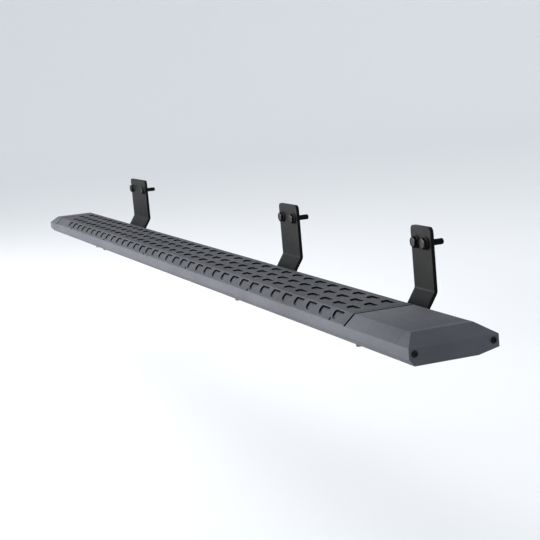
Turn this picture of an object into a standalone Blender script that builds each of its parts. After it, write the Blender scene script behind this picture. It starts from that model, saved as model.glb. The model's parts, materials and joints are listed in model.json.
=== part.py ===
"""Running board: an extruded step with a scale-pattern tread cover, bevelled end caps and three
brackets that slide along its T-slots.

X runs along the board (the near end is +X), -Y is the outer side, +Y the vehicle side and +Z is up.
All sizes are in metres. Sections are (y, z) outlines in the board's own frame, whose origin is midway
along the board, midway across it and level with its underside.
"""

import math

import bmesh
import bpy
from mathutils import Euler, Matrix, Vector

# Board section
BOARD_WIDTH = 0.1397
BOARD_HEIGHT = 0.0416
WALL_TOP = 0.0256
FRONT_WALL_BOTTOM = 0.0098
REAR_WALL_BOTTOM = 0.0072
FRONT_CHAMFER_RUN = 0.0186
REAR_CHAMFER_RUN = 0.0232
FRONT_LOWER_RUN = 0.0077
REAR_LOWER_RUN = 0.0330
HALF_WIDTH = BOARD_WIDTH / 2

# Board lengths, from the middle
BOARD_HALF_LENGTH = 1.1555
CAP_LENGTH = 0.0405
CAP_BEVEL_RUN = 0.0266
TREAD_NEAR_END = 0.9430
TREAD_FAR_END = -1.0700
TREAD_GROOVE = 0.0055
CAP_SEAM = BOARD_HALF_LENGTH - CAP_LENGTH

# Sheet, walls and gaps
GAP = 0.0003
COVER_THICKNESS = 0.0034
COVER_RECESS = COVER_THICKNESS + GAP
WALL_THICKNESS = 0.0025
FLOOR_THICKNESS = 0.0030
ROOF_THICKENING = 0.0003
CAP_WALL = 0.0030
CAP_END_WALL = 0.0040

# T-slots under the board
SLOT_OFFSET = 0.0200
SLOT_MOUTH = 0.0110
SLOT_POCKET_WIDTH = 0.0220
SLOT_POCKET_TOP = 0.0115

# Tread scales: half-moons with their straight edges to the rear, in rows along the board
SCALE_PITCH = 0.0522
SCALE_HALF_LENGTH = 0.0168
SCALE_REACH = 0.0175
SCALE_DEPTH = 0.0026
SCALE_ARC_STEPS = 6
# Each row: its straight edges' place across the deck, its last scale's middle and its number of scales
DECK_SCALE_ROWS = ((-0.0219, 0.8951, 37), (0.0076, 0.8951, 38), (0.0366, 0.8951, 38))
# The same for the front chamfer's row, whose edges are measured up the chamfer from its foot
CHAMFER_SCALE_ROW = (0.0228, 0.9000, 36)

# Cover rivets
RIVET_PITCHES = (-17, -10, -3, 3, 10, 17)
RIVET_FROM_FOOT = 0.0035
RIVET_HEAD_RADIUS = 0.0030
RIVET_HEAD_HEIGHT = 0.0011
RIVET_SHANK_RADIUS = 0.0016
RIVET_LENGTH = 0.0066
RIVET_SIDES = 10

# End cap screws
CAP_SCREW_FROM_WALL = 0.0086
CAP_SCREW_BELOW_WALL_TOP = 0.0083
CAP_SCREW_RADIUS = 0.0030
CAP_SCREW_LENGTH = 0.0550
CAP_SCREW_HEAD_RADIUS = 0.0052
CAP_SCREW_HEAD_HEIGHT = 0.0033
CAP_SCREW_KEY = 0.0040
CAP_SCREW_KEY_DEPTH = 0.0018
SCREW_BOSS_HALF_HEIGHT = 0.0048
CAP_POST_RADIUS = 0.0059
SCREW_SIDES = 14

# Brackets: name, place along the board, width, and its T-bolts' places along it
BRACKETS = (
    ("near", 0.8835, 0.066, (0.0,)),
    ("middle", 0.3280, 0.090, (0.0,)),
    ("far", -0.7590, 0.142, (-0.040, 0.040)),
)
STRAP_THICKNESS = 0.0060
FOOT_FRONT = -0.0380
STRAP_KNEE = (0.0679, -GAP)
STRAP_SHOULDER = (0.1000, 0.0490)
STRAP_TOP = 0.1500
STRAP_BEND_RADIUS = 0.0080
STRAP_BEND_STEPS = 4
STRAP_CORNER = 0.0080
VEHICLE_BOLT_HEIGHT = 0.1240
VEHICLE_BOLT_FROM_EDGE = 0.0170

# M10 fasteners
M10_RADIUS = 0.0050
M10_HOLE_RADIUS = 0.0055
M10_ACROSS_FLATS = 0.0160
T_HEAD_WIDTH = 0.0180
T_HEAD_HEIGHT = 0.0060
STUD_END = -0.0235
WASHER_RADIUS = 0.0105
WASHER_THICKNESS = 0.0020
NUT_HEIGHT = 0.0084
BOLT_HEAD_HEIGHT = 0.0064
BOLT_FLANGE_RADIUS = 0.0108
BOLT_FLANGE_HEIGHT = 0.0020
VEHICLE_BOLT_LENGTH = 0.0300
BOLT_SIDES = 14

# The frame's origin is the centre of the whole part's bounding box.
SHANK_REACH = STRAP_SHOULDER[0] + VEHICLE_BOLT_LENGTH - GAP
BOX_CENTRE = (0.0, (SHANK_REACH - HALF_WIDTH) / 2, (STRAP_TOP + STUD_END) / 2)

WELD_DISTANCE = 0.00001
OVERSHOOT = 0.0010


def clear_scene():
    for obj in list(bpy.data.objects):
        bpy.data.objects.remove(obj, do_unlink=True)


def new_collection(name):
    collection = bpy.data.collections.new(name)
    bpy.context.scene.collection.children.link(collection)
    return collection


def make_material(name, color, roughness, metallic):
    material = bpy.data.materials.new(name)
    material.use_nodes = True
    shader = material.node_tree.nodes["Principled BSDF"]
    shader.inputs["Base Color"].default_value = (*color, 1.0)
    shader.inputs["Roughness"].default_value = roughness
    shader.inputs["Metallic"].default_value = metallic
    return material


def add_object(name, mesh, collection, parent=None, location=(0, 0, 0), rotation=(0, 0, 0)):
    obj = bpy.data.objects.new(name, mesh)
    collection.objects.link(obj)
    obj.parent = parent
    obj.location = location
    obj.rotation_euler = rotation
    return obj


def add_empty(name, parent, location):
    return add_object(name, None, PARTS, parent, location)


def mesh_from_bmesh(name, bm):
    mesh = bpy.data.meshes.new(name)
    bm.to_mesh(mesh)
    bm.free()
    return mesh


def weld(mesh):
    bm = bmesh.new()
    bm.from_mesh(mesh)
    bmesh.ops.remove_doubles(bm, verts=bm.verts, dist=WELD_DISTANCE)
    bmesh.ops.recalc_face_normals(bm, faces=bm.faces)
    bm.to_mesh(mesh)
    bm.free()
    return mesh


def join_flat_faces(bm):
    bmesh.ops.dissolve_limit(bm, angle_limit=math.radians(1), verts=bm.verts, edges=bm.edges)


def baked_mesh(obj):
    """The object's shape with its modifiers applied, in its own coordinates."""
    bpy.context.view_layer.update()
    evaluated = obj.evaluated_get(bpy.context.evaluated_depsgraph_get())
    return bpy.data.meshes.new_from_object(evaluated)


def prism_mesh(name, outline, start, end, holes=()):
    """A straight solid along X whose section is the (y, z) outline less its holes."""
    curve = bpy.data.curves.new(name, "CURVE")
    curve.dimensions = "2D"
    curve.fill_mode = "BOTH"
    curve.extrude = abs(end - start) / 2
    for loop in (outline, *holes):
        spline = curve.splines.new("POLY")
        spline.points.add(len(loop) - 1)
        for point, (y, z) in zip(spline.points, loop):
            point.co = (y, z, 0, 1)
        spline.use_cyclic_u = True
    drawn = add_object(name, curve, CUTTERS)
    mesh = weld(baked_mesh(drawn))
    bpy.data.objects.remove(drawn)
    # The curve's x, y and z become the board's y, z and x.
    middle = (start + end) / 2
    for vertex in mesh.vertices:
        y, z, x = vertex.co
        vertex.co = (x + middle, y, z)
    return mesh


def hull_mesh(name, points):
    bm = bmesh.new()
    for point in points:
        bm.verts.new(point)
    bmesh.ops.convex_hull(bm, input=bm.verts)
    return weld(mesh_from_bmesh(name, bm))


def cylinder_mesh(name, radius, length, sides):
    """A cylinder along Z from z = 0 to z = length."""
    bm = bmesh.new()
    bmesh.ops.create_cone(
        bm, cap_ends=True, segments=sides, radius1=radius, radius2=radius, depth=length
    )
    bmesh.ops.translate(bm, verts=bm.verts, vec=(0, 0, length / 2))
    return mesh_from_bmesh(name, bm)


def turned_mesh(name, profile, sides):
    """A turned solid about Z from its (radius, z) profile, which runs down from the axis to the axis."""
    bm = bmesh.new()
    verts = [bm.verts.new((radius, 0, z)) for radius, z in profile]
    for first, second in zip(verts, verts[1:]):
        bm.edges.new((first, second))
    obj = add_object(name, mesh_from_bmesh(name, bm), CUTTERS)
    screw = obj.modifiers.new("turn", "SCREW")
    screw.steps = sides
    screw.render_steps = sides
    screw.use_merge_vertices = True
    screw.merge_threshold = WELD_DISTANCE
    mesh = weld(baked_mesh(obj))
    bpy.data.objects.remove(obj)
    return mesh


def add_boolean(target, tool, operation="DIFFERENCE"):
    tool.hide_render = True
    tool.display_type = "WIRE"
    modifier = target.modifiers.new(tool.name, "BOOLEAN")
    modifier.operation = operation
    modifier.solver = "EXACT"
    modifier.object = tool


def combined_mesh(name, base, *steps):
    """One mesh from a base mesh and (operation, mesh, location, rotation) steps."""
    target = add_object(name, base, CUTTERS)
    tools = []
    for operation, mesh, location, rotation in steps:
        tool = add_object(f"{name}_{len(tools)}", mesh, CUTTERS, None, location, rotation)
        add_boolean(target, tool, operation)
        tools.append(tool)
    mesh = weld(baked_mesh(target))
    for obj in (target, *tools):
        bpy.data.objects.remove(obj)
    mesh.name = name
    return mesh


def add_part(name, mesh, material, parent, location=(0, 0, 0), rotation=(0, 0, 0), smooth=False):
    obj = add_object(name, mesh, PARTS, parent, location, rotation)
    if not mesh.materials:
        mesh.materials.append(material)
    if smooth:
        mesh.shade_smooth()
        mesh.set_sharp_from_angle(angle=math.radians(35))
    return obj


def circle(center, radius, sides):
    y, z = center
    turns = [2 * math.pi * (step + 0.5) / sides for step in range(sides)]
    return [(y + radius * math.cos(turn), z + radius * math.sin(turn)) for turn in turns]


def line_crossing(point, direction, other_point, other_direction):
    """Where two lines in the section plane meet."""
    cross = direction.x * other_direction.y - direction.y * other_direction.x
    offset = other_point - point
    along = (offset.x * other_direction.y - offset.y * other_direction.x) / cross
    return point + direction * along


def inset(outline, depths):
    """The outline with each side moved inwards by its own depth; side i starts at point i."""
    points = [Vector(point) for point in outline]
    sides = []
    for start, end, depth in zip(points, points[1:] + points[:1], depths):
        direction = (end - start).normalized()
        inward = Vector((direction.y, -direction.x))
        sides.append((start + inward * depth, direction))
    return [tuple(line_crossing(*sides[i - 1], *sides[i])) for i in range(len(sides))]


def board_outline():
    """The finished section, from the front wall's foot up, over the deck and back along the floor."""
    return [
        (-HALF_WIDTH, FRONT_WALL_BOTTOM),
        (-HALF_WIDTH, WALL_TOP),
        (-HALF_WIDTH + FRONT_CHAMFER_RUN, BOARD_HEIGHT),
        (HALF_WIDTH - REAR_CHAMFER_RUN, BOARD_HEIGHT),
        (HALF_WIDTH, WALL_TOP),
        (HALF_WIDTH, REAR_WALL_BOTTOM),
        (HALF_WIDTH - REAR_LOWER_RUN, 0.0),
        (-HALF_WIDTH + FRONT_LOWER_RUN, 0.0),
    ]


def covered_sides(outline, start_gap, depth):
    """The chamfer-deck-chamfer line at a depth under the outline, cut square to each chamfer's foot."""
    _, front_foot, front_edge, rear_edge, rear_foot, *_ = [Vector(point) for point in outline]
    deep = inset(outline, [depth] * len(outline))
    line = []
    for foot, edge in ((front_foot, front_edge), (rear_foot, rear_edge)):
        up_slope = (edge - foot).normalized()
        inward = Vector((up_slope.y, -up_slope.x))
        if inward.y > 0:
            inward = -inward
        line.append(tuple(foot + up_slope * start_gap + inward * depth))
    return [line[0], deep[2], deep[3], line[1]]


def screw_centers():
    height = WALL_TOP - CAP_SCREW_BELOW_WALL_TOP
    reach = HALF_WIDTH - CAP_SCREW_FROM_WALL
    return {"front": (-reach, height), "rear": (reach, height)}


def around_boss(foot, edge, center):
    """The side of a hollow that rises around a screw boss on its wall and goes on up the chamfer."""
    wall_y = foot[0]
    inner_y = center[0] - math.copysign(SCREW_BOSS_HALF_HEIGHT, center[0])
    low = center[1] - SCREW_BOSS_HALF_HEIGHT
    high = center[1] + SCREW_BOSS_HALF_HEIGHT
    share = (high - foot[1]) / (edge[1] - foot[1])
    return [
        (wall_y, low), (inner_y, low), (inner_y, high), (wall_y + share * (edge[0] - wall_y), high), edge
    ]


def slot_notch(center_y):
    """A T-slot in the floor, walked in the direction of falling y."""
    mouth = SLOT_MOUTH / 2
    pocket = SLOT_POCKET_WIDTH / 2
    half = [(mouth, 0.0), (mouth, FLOOR_THICKNESS), (pocket, FLOOR_THICKNESS), (pocket, SLOT_POCKET_TOP)]
    return [(center_y + y, z) for y, z in half] + [(center_y - y, z) for y, z in reversed(half)]


def extrusion_outline(outline):
    recess = covered_sides(outline, -GAP, COVER_RECESS)
    lip = covered_sides(outline, -GAP, 0.0)
    front_low, _, _, _, _, rear_low, floor_rear, floor_front = outline
    front_lip = (-HALF_WIDTH, lip[0][1])
    rear_lip = (HALF_WIDTH, lip[3][1])
    slots = slot_notch(SLOT_OFFSET) + slot_notch(-SLOT_OFFSET)
    return [front_low, front_lip, *recess, rear_lip, rear_low, floor_rear, *slots, floor_front]


def extrusion_hollows(outline):
    """The three long hollows between the walls, the two webs and the T-slot pockets.

    The roof thickens a little towards the webs and again between them.
    """
    deep = COVER_RECESS + WALL_THICKNESS
    wall = WALL_THICKNESS
    floor = FLOOR_THICKNESS
    front_low, front_foot, front_edge, rear_edge, rear_foot, rear_low, floor_rear, floor_front = inset(
        outline, [wall, deep, deep, deep, wall, wall, floor, wall]
    )
    roof = front_edge[1] - ROOF_THICKENING
    middle_roof = roof - ROOF_THICKENING
    pocket_roof = SLOT_POCKET_TOP + wall
    pocket_side = SLOT_POCKET_WIDTH / 2 + wall
    outer_side = SLOT_OFFSET + pocket_side
    inner_side = SLOT_OFFSET - pocket_side
    outer_web = SLOT_OFFSET + wall / 2
    inner_web = SLOT_OFFSET - wall / 2
    bosses = screw_centers()
    front = [
        front_low, *around_boss(front_foot, front_edge, bosses["front"]), (-outer_web, roof),
        (-outer_web, pocket_roof), (-outer_side, pocket_roof), (-outer_side, floor), floor_front,
    ]
    middle = [
        (-inner_web, middle_roof), (inner_web, middle_roof), (inner_web, pocket_roof),
        (inner_side, pocket_roof),
        (inner_side, floor), (-inner_side, floor), (-inner_side, pocket_roof),
        (-inner_web, pocket_roof),
    ]
    rear = [
        rear_low, *around_boss(rear_foot, rear_edge, bosses["rear"]), (outer_web, roof),
        (outer_web, pocket_roof), (outer_side, pocket_roof), (outer_side, floor), floor_rear,
    ]
    return [front, middle, rear]


def screw_holes():
    return [circle(center, CAP_SCREW_RADIUS + GAP, SCREW_SIDES) for center in screw_centers().values()]


def make_rivet_hole_cutter(outline, frame):
    """All the holes that the cover rivets pass through, as one cutter."""
    reach = RIVET_LENGTH + OVERSHOOT
    hole = cylinder_mesh("rivet_hole", RIVET_SHANK_RADIUS + GAP, 2 * reach, RIVET_SIDES)
    holes = bmesh.new()
    for name, location, rotation in rivet_places(outline):
        placed = hole.copy()
        turn = Euler(rotation).to_matrix().to_4x4()
        sunk = Matrix.Translation((0, 0, -reach))
        placed.transform(Matrix.Translation(location) @ turn @ sunk)
        holes.from_mesh(placed)
    return add_object("rivet_holes", mesh_from_bmesh("rivet_holes", holes), CUTTERS, frame)


def chamfer_frame(outline, side):
    """A chamfer's foot, its direction up the slope and its outward direction, in the section plane."""
    foot, edge = {"front": (outline[1], outline[2]), "rear": (outline[4], outline[3])}[side]
    foot = Vector(foot)
    up_slope = (Vector(edge) - foot).normalized()
    outward = Vector((-up_slope.y, up_slope.x))
    if outward.y < 0:
        outward = -outward
    return foot, up_slope, outward


def rivet_places(outline):
    """Name, place and turn of each cover rivet."""
    places = []
    for side in ("front", "rear"):
        foot, up_slope, outward = chamfer_frame(outline, side)
        center = foot + up_slope * RIVET_FROM_FOOT
        tilt = math.atan2(-outward.x, outward.y)
        for number, pitches in enumerate(RIVET_PITCHES, start=1):
            location = (pitches * SCALE_PITCH, center.x, center.y)
            places.append((f"cover_rivet_{side}_{number}", location, (tilt, 0, 0)))
    return places


def scale_cutter_mesh():
    """One scale's cut: a half-moon with a flat floor, whose straight edge is at y = 0."""
    bm = bmesh.new()
    turns = [math.pi + math.pi * step / SCALE_ARC_STEPS for step in range(SCALE_ARC_STEPS + 1)]
    arc = [(SCALE_HALF_LENGTH * math.cos(turn), SCALE_REACH * math.sin(turn), OVERSHOOT) for turn in turns]
    top = bm.faces.new([bm.verts.new(point) for point in arc])
    sides = bmesh.ops.extrude_face_region(bm, geom=[top])
    for vert in sides["geom"]:
        if isinstance(vert, bmesh.types.BMVert):
            vert.co.z = -SCALE_DEPTH
    bmesh.ops.recalc_face_normals(bm, faces=bm.faces)
    return mesh_from_bmesh("scale", bm)


def make_scale_cutter(outline, frame):
    """Every scale of the tread as one cutter: rows on the deck and one row on the front chamfer."""
    scale = scale_cutter_mesh()
    foot, up_slope, _ = chamfer_frame(outline, "front")
    rear, last, count = CHAMFER_SCALE_ROW
    chamfer_rear = foot + up_slope * rear
    rows = [(chamfer_rear.x, chamfer_rear.y, math.atan2(up_slope.y, up_slope.x), last, count)]
    rows += [(rear, BOARD_HEIGHT, 0.0, last, count) for rear, last, count in DECK_SCALE_ROWS]
    scales = bmesh.new()
    for y, z, tilt, last, count in rows:
        for number in range(count):
            place = Matrix.Translation((last - number * SCALE_PITCH, y, z))
            placed = scale.copy()
            placed.transform(place @ Matrix.Rotation(tilt, 4, "X"))
            scales.from_mesh(placed)
    return add_object("scales", mesh_from_bmesh("scales", scales), CUTTERS, frame)


def cover_mesh(name, outline, start, end):
    top = covered_sides(outline, 0.0, 0.0)
    underside = covered_sides(outline, 0.0, COVER_THICKNESS)
    return prism_mesh(name, top + underside[::-1], start, end)


def make_board(outline, frame, rivet_holes):
    extrusion = add_part(
        "board_extrusion",
        prism_mesh(
            "board_extrusion", extrusion_outline(outline), GAP - CAP_SEAM, CAP_SEAM - GAP,
            [*extrusion_hollows(outline), *screw_holes()],
        ),
        POWDER_COAT, frame,
    )
    add_boolean(extrusion, rivet_holes)
    tread = add_part(
        "tread_cover", cover_mesh("tread_cover", outline, TREAD_FAR_END, TREAD_NEAR_END),
        TREAD_COAT, frame,
    )
    add_boolean(tread, make_scale_cutter(outline, frame))
    add_boolean(tread, rivet_holes)
    for name, side, tread_end in (("near", 1, TREAD_NEAR_END), ("far", -1, TREAD_FAR_END)):
        ends = sorted((tread_end + side * TREAD_GROOVE, side * (CAP_SEAM - GAP)))
        add_part(f"end_panel_{name}", cover_mesh("end_panel", outline, *ends), POWDER_COAT, frame)


def make_rivets(outline, frame):
    profile = [
        (0.0, GAP + RIVET_HEAD_HEIGHT),
        (RIVET_HEAD_RADIUS * 0.6, GAP + RIVET_HEAD_HEIGHT * 0.8),
        (RIVET_HEAD_RADIUS, GAP),
        (RIVET_SHANK_RADIUS, GAP),
        (RIVET_SHANK_RADIUS, -RIVET_LENGTH),
        (0.0, -RIVET_LENGTH),
    ]
    mesh = turned_mesh("cover_rivet", profile, RIVET_SIDES)
    for name, location, rotation in rivet_places(outline):
        add_part(name, mesh, BLACK_STEEL, frame, location, rotation, smooth=True)


def cap_shell_mesh(outline, side):
    """The cap's outside, whose deck slopes down to the wall top at the end."""
    corners = []
    for y, z in outline:
        bevel = CAP_BEVEL_RUN if z > WALL_TOP + GAP else 0.0
        corners.append((side * CAP_SEAM, y, z))
        corners.append((side * (BOARD_HALF_LENGTH - bevel), y, z))
    return hull_mesh("cap_shell", corners)


def cap_hollow_mesh(outline, side):
    """The cap's inside, open towards the board and one wall's thickness under its outside."""
    hollow = inset(outline, [CAP_WALL] * len(outline))
    ends = sorted((side * (CAP_SEAM - OVERSHOOT), side * (BOARD_HALF_LENGTH - CAP_END_WALL)))
    bm = bmesh.new()
    bm.from_mesh(prism_mesh("cap_hollow", hollow, *ends))
    across_bevel = Vector((side * (BOARD_HEIGHT - WALL_TOP), 0, CAP_BEVEL_RUN)).normalized()
    bevel_foot = Vector((side * BOARD_HALF_LENGTH, 0, WALL_TOP))
    bmesh.ops.bisect_plane(
        bm, geom=[*bm.verts, *bm.edges, *bm.faces], plane_co=bevel_foot - across_bevel * CAP_WALL,
        plane_no=across_bevel, clear_outer=True,
    )
    corners = [vert.co.copy() for vert in bm.verts]
    bm.free()
    return hull_mesh("cap_hollow", corners)


def make_end_caps(outline, frame):
    post_section = (CAP_POST_RADIUS, SCREW_SIDES)
    for name, side in (("near", 1), ("far", -1)):
        cap = add_part(f"end_cap_{name}", cap_shell_mesh(outline, side), POWDER_COAT, frame)
        add_boolean(cap, add_object(f"cap_hollow_{name}", cap_hollow_mesh(outline, side), CUTTERS, frame))
        post_ends = sorted((side * (CAP_SEAM + OVERSHOOT), side * (BOARD_HALF_LENGTH - CAP_END_WALL / 2)))
        hole_ends = sorted((side * (CAP_SEAM - OVERSHOOT), side * (BOARD_HALF_LENGTH + OVERSHOOT)))
        for place, center in screw_centers().items():
            post = prism_mesh("cap_post", circle(center, *post_section), *post_ends)
            add_boolean(cap, add_object(f"cap_post_{name}_{place}", post, CUTTERS, frame), "UNION")
        for place, hole in zip(screw_centers(), screw_holes()):
            drill = prism_mesh("cap_screw_hole", hole, *hole_ends)
            add_boolean(cap, add_object(f"cap_screw_hole_{name}_{place}", drill, CUTTERS, frame))


def make_cap_screws(frame):
    dome_steps = 4
    turns = [math.pi / 2 * step / dome_steps for step in range(1, dome_steps + 1)]
    dome = [
        (CAP_SCREW_HEAD_RADIUS * math.sin(turn), CAP_SCREW_HEAD_HEIGHT * math.cos(turn)) for turn in turns
    ]
    profile = [
        (0.0, CAP_SCREW_HEAD_HEIGHT), *dome, (CAP_SCREW_RADIUS, 0.0),
        (CAP_SCREW_RADIUS, -CAP_SCREW_LENGTH), (0.0, -CAP_SCREW_LENGTH),
    ]
    body = turned_mesh("cap_screw_body", profile, SCREW_SIDES)
    key = cylinder_mesh("cap_screw_key", CAP_SCREW_KEY / math.sqrt(3), CAP_SCREW_HEAD_HEIGHT, 6)
    key_floor = (0, 0, CAP_SCREW_HEAD_HEIGHT - CAP_SCREW_KEY_DEPTH)
    mesh = combined_mesh("cap_screw", body, ("DIFFERENCE", key, key_floor, (0, 0, 0)))
    for name, side in (("near", 1), ("far", -1)):
        for place, (y, z) in screw_centers().items():
            location = (side * (BOARD_HALF_LENGTH + GAP), y, z)
            rotation = (0, side * math.pi / 2, 0)
            add_part(f"cap_screw_{name}_{place}", mesh, BLACK_STEEL, frame, location, rotation, smooth=True)


def bent_strap_outline():
    """The strap's section: under the board, up and inwards, then straight up the vehicle's side."""
    path = [Vector(point) for point in ((FOOT_FRONT, -GAP), STRAP_KNEE, STRAP_SHOULDER)]
    path.append(Vector((STRAP_SHOULDER[0], STRAP_TOP)))
    near_side = [path[0]]
    far_side = [path[0] - Vector((0, STRAP_THICKNESS))]
    for before, corner, after in zip(path, path[1:], path[2:]):
        arriving = (corner - before).normalized()
        leaving = (after - corner).normalized()
        turn = arriving.angle(leaving)
        tangent = STRAP_BEND_RADIUS * math.tan(turn / 2)
        to_center = Vector((-arriving.y, arriving.x))
        center = corner - arriving * tangent + to_center * STRAP_BEND_RADIUS
        for step in range(STRAP_BEND_STEPS + 1):
            spoke = -to_center
            spoke.rotate(Matrix.Rotation(turn * step / STRAP_BEND_STEPS, 2))
            near_side.append(center + spoke * STRAP_BEND_RADIUS)
            far_side.append(center + spoke * (STRAP_BEND_RADIUS + STRAP_THICKNESS))
    near_side.append(path[-1])
    far_side.append(path[-1] + Vector((STRAP_THICKNESS, 0)))
    return [tuple(point) for point in near_side + far_side[::-1]]


def strap_mesh(width):
    """A bracket's strap before drilling, with the corners of its foot and of its top rounded."""
    bm = bmesh.new()
    bm.from_mesh(prism_mesh("strap", bent_strap_outline(), -width / 2, width / 2))
    join_flat_faces(bm)
    corners = []
    for edge in bm.edges:
        first, second = (vert.co for vert in edge.verts)
        at_side = abs(first.x - second.x) < GAP and abs(abs(first.x) - width / 2) < GAP
        at_foot = max(first.y, second.y) < FOOT_FRONT + GAP
        at_top = min(first.z, second.z) > STRAP_TOP - GAP
        if at_side and (at_foot or at_top):
            corners.append(edge)
    bmesh.ops.bevel(bm, geom=corners, offset=STRAP_CORNER, segments=3, profile=0.5, affect="EDGES")
    return mesh_from_bmesh("strap", bm)


def vehicle_bolt_places(width):
    reach = width / 2 - VEHICLE_BOLT_FROM_EDGE
    return [(side * reach, STRAP_SHOULDER[0], VEHICLE_BOLT_HEIGHT) for side in (-1, 1)]


def bracket_mesh(width, stud_places):
    drill = cylinder_mesh("strap_drill", M10_HOLE_RADIUS, 4 * STRAP_THICKNESS, BOLT_SIDES)
    steps = []
    for x, y in stud_places:
        steps.append(("DIFFERENCE", drill, (x, y, -3 * STRAP_THICKNESS), (0, 0, 0)))
    for x, y, z in vehicle_bolt_places(width):
        steps.append(("DIFFERENCE", drill, (x, y + 3 * STRAP_THICKNESS, z), (math.pi / 2, 0, 0)))
    return combined_mesh("bracket", strap_mesh(width), *steps)


def box_mesh(name, size, height):
    """A box standing on z = 0."""
    bm = bmesh.new()
    bmesh.ops.create_cube(bm, size=1.0)
    bmesh.ops.scale(bm, verts=bm.verts, vec=(*size, height))
    bmesh.ops.translate(bm, verts=bm.verts, vec=(0, 0, height / 2))
    return mesh_from_bmesh(name, bm)


def t_bolt_mesh():
    """A T-bolt with the underside of its head at z = 0."""
    head = box_mesh("t_head", (T_HEAD_WIDTH, T_HEAD_WIDTH), T_HEAD_HEIGHT)
    length = FLOOR_THICKNESS + GAP - STUD_END
    shank = cylinder_mesh("t_shank", M10_RADIUS, length + OVERSHOOT, BOLT_SIDES)
    return combined_mesh("t_bolt", head, ("UNION", shank, (0, 0, -length), (0, 0, 0)))


def washer_mesh():
    disc = cylinder_mesh("washer_disc", WASHER_RADIUS, WASHER_THICKNESS, BOLT_SIDES)
    hole = cylinder_mesh("washer_hole", M10_HOLE_RADIUS, WASHER_THICKNESS + 2 * OVERSHOOT, BOLT_SIDES)
    return combined_mesh("washer", disc, ("DIFFERENCE", hole, (0, 0, -OVERSHOOT), (0, 0, 0)))


def nut_mesh():
    body = cylinder_mesh("nut_body", M10_ACROSS_FLATS / math.sqrt(3), NUT_HEIGHT, 6)
    hole = cylinder_mesh("nut_hole", M10_RADIUS + GAP, NUT_HEIGHT + 2 * OVERSHOOT, BOLT_SIDES)
    return combined_mesh("nut", body, ("DIFFERENCE", hole, (0, 0, -OVERSHOOT), (0, 0, 0)))


def vehicle_bolt_mesh():
    """A flange bolt with the underside of its flange at z = 0 and its shank below."""
    profile = [
        (0.0, BOLT_FLANGE_HEIGHT), (BOLT_FLANGE_RADIUS * 0.8, BOLT_FLANGE_HEIGHT),
        (BOLT_FLANGE_RADIUS, BOLT_FLANGE_HEIGHT / 2), (BOLT_FLANGE_RADIUS, 0.0), (M10_RADIUS, 0.0),
        (M10_RADIUS, -VEHICLE_BOLT_LENGTH), (0.0, -VEHICLE_BOLT_LENGTH),
    ]
    body = turned_mesh("vehicle_bolt_body", profile, BOLT_SIDES)
    head = cylinder_mesh("vehicle_bolt_head", M10_ACROSS_FLATS / math.sqrt(3), BOLT_HEAD_HEIGHT, 6)
    head_foot = (0, 0, BOLT_FLANGE_HEIGHT - OVERSHOOT)
    return combined_mesh("vehicle_bolt", body, ("UNION", head, head_foot, (0, 0, 0)))


def make_brackets(frame):
    """Each bracket and its fasteners hang from an empty on the line that the bracket slides along."""
    t_bolt = t_bolt_mesh()
    washer = washer_mesh()
    nut = nut_mesh()
    vehicle_bolt = vehicle_bolt_mesh()
    washer_level = -2 * GAP - STRAP_THICKNESS - WASHER_THICKNESS
    nut_level = washer_level - GAP - NUT_HEIGHT
    for name, along, width, stud_offsets in BRACKETS:
        slide = add_empty(f"slide_{name}", frame, (along, 0, 0))
        rows = (("front", -SLOT_OFFSET), ("rear", SLOT_OFFSET))
        studs = [
            (f"{row}_{number}", x, y) for row, y in rows for number, x in enumerate(stud_offsets, start=1)
        ]
        strap = bracket_mesh(width, [(x, y) for _, x, y in studs])
        add_part(f"bracket_{name}", strap, BRACKET_COAT, slide)
        for place, x, y in studs:
            label = f"{name}_{place}"
            add_part(f"t_bolt_{label}", t_bolt, ZINC_STEEL, slide, (x, y, FLOOR_THICKNESS + GAP), smooth=True)
            add_part(f"washer_{label}", washer, ZINC_STEEL, slide, (x, y, washer_level), smooth=True)
            add_part(f"nut_{label}", nut, ZINC_STEEL, slide, (x, y, nut_level), smooth=True)
        for number, (x, y, z) in enumerate(vehicle_bolt_places(width), start=1):
            add_part(
                f"vehicle_bolt_{name}_{number}", vehicle_bolt, BLACK_STEEL, slide,
                (x, y - GAP, z), (math.pi / 2, 0, 0), smooth=True,
            )


clear_scene()
PARTS = new_collection("running_board")
CUTTERS = new_collection("cutters")
POWDER_COAT = make_material("powder_coat", (0.105, 0.108, 0.118), 0.50, 0.1)
TREAD_COAT = make_material("tread_coat", (0.095, 0.098, 0.107), 0.52, 0.1)
BRACKET_COAT = make_material("bracket_coat", (0.020, 0.020, 0.021), 0.45, 0.1)
BLACK_STEEL = make_material("black_steel", (0.015, 0.015, 0.016), 0.35, 0.6)
ZINC_STEEL = make_material("zinc_steel", (0.45, 0.46, 0.47), 0.40, 1.0)

section = board_outline()
board_frame = add_empty("board_frame", None, tuple(-value for value in BOX_CENTRE))
rivet_hole_cutter = make_rivet_hole_cutter(section, board_frame)
make_board(section, board_frame, rivet_hole_cutter)
make_rivets(section, board_frame)
make_end_caps(section, board_frame)
make_cap_screws(board_frame)
make_brackets(board_frame)
bpy.context.view_layer.update()
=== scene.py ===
"""The running board's looks: finer pieces, finishes, light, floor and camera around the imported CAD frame.

All sizes are in metres, in the row frame: +X along the board to its near end, -Y the outer side, +Z up.
"""

import json
import math

import bmesh
import bpy
from mathutils import Matrix, Vector


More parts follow.
